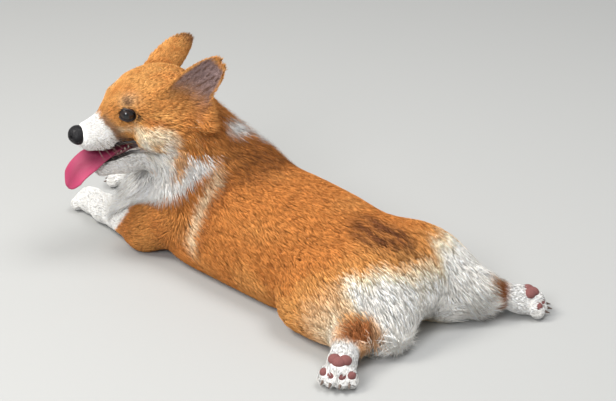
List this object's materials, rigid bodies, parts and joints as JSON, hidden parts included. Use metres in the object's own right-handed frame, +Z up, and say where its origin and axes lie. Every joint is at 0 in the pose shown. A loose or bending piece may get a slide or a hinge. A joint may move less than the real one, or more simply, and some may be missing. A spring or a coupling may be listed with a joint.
{
  "type": "pembroke welsh corgi",
  "caption": "Life-size still model of a Pembroke Welsh corgi lying flat with its legs stretched out, head turned, mouth open and tongue out.",
  "frame": {"origin": "on the floor under the middle of the belly, at the centre of the flat belly rest", "axes": "+Z up from the floor; the dog's body points along -Y and its left side is towards +X"},
  "size_m": [0.37, 0.7639, 0.2919],
  "materials": {
    "fur_russet": "matte, soft outer coat of russet guard hairs",
    "fur_gold": "matte, short golden fur",
    "fur_cream": "matte, long fluffy cream fur",
    "fur_white": "matte, short white fur",
    "fur_sable": "matte, dark sable fur",
    "eye_brown": "wet, glossy",
    "nose_black": "moist, pebbled",
    "tongue_pink": "wet, soft",
    "enamel": "glossy"
  },
  "bodies": {
    "root": {"torso": "fur_russet", "neck": "fur_russet", "head": "fur_gold", "lower_jaw": "fur_cream", "lower_teeth": "enamel", "tongue": "tongue_pink", "nose": "nose_black", "tail": "fur_sable", "ear_left": "fur_gold", "eye_left": "eye_brown", "upper_arm_left": "fur_russet", "forearm_left": "fur_white", "fore_paw_left": "fur_white", "thigh_left": "fur_cream", "hock_left": "fur_russet", "hind_paw_left": "fur_white", "ear_right": "fur_gold", "eye_right": "eye_brown", "upper_arm_right": "fur_russet", "forearm_right": "fur_white", "fore_paw_right": "fur_white", "thigh_right": "fur_cream", "hock_right": "fur_russet", "hind_paw_right": "fur_white"}
  },
  "joints": []
}
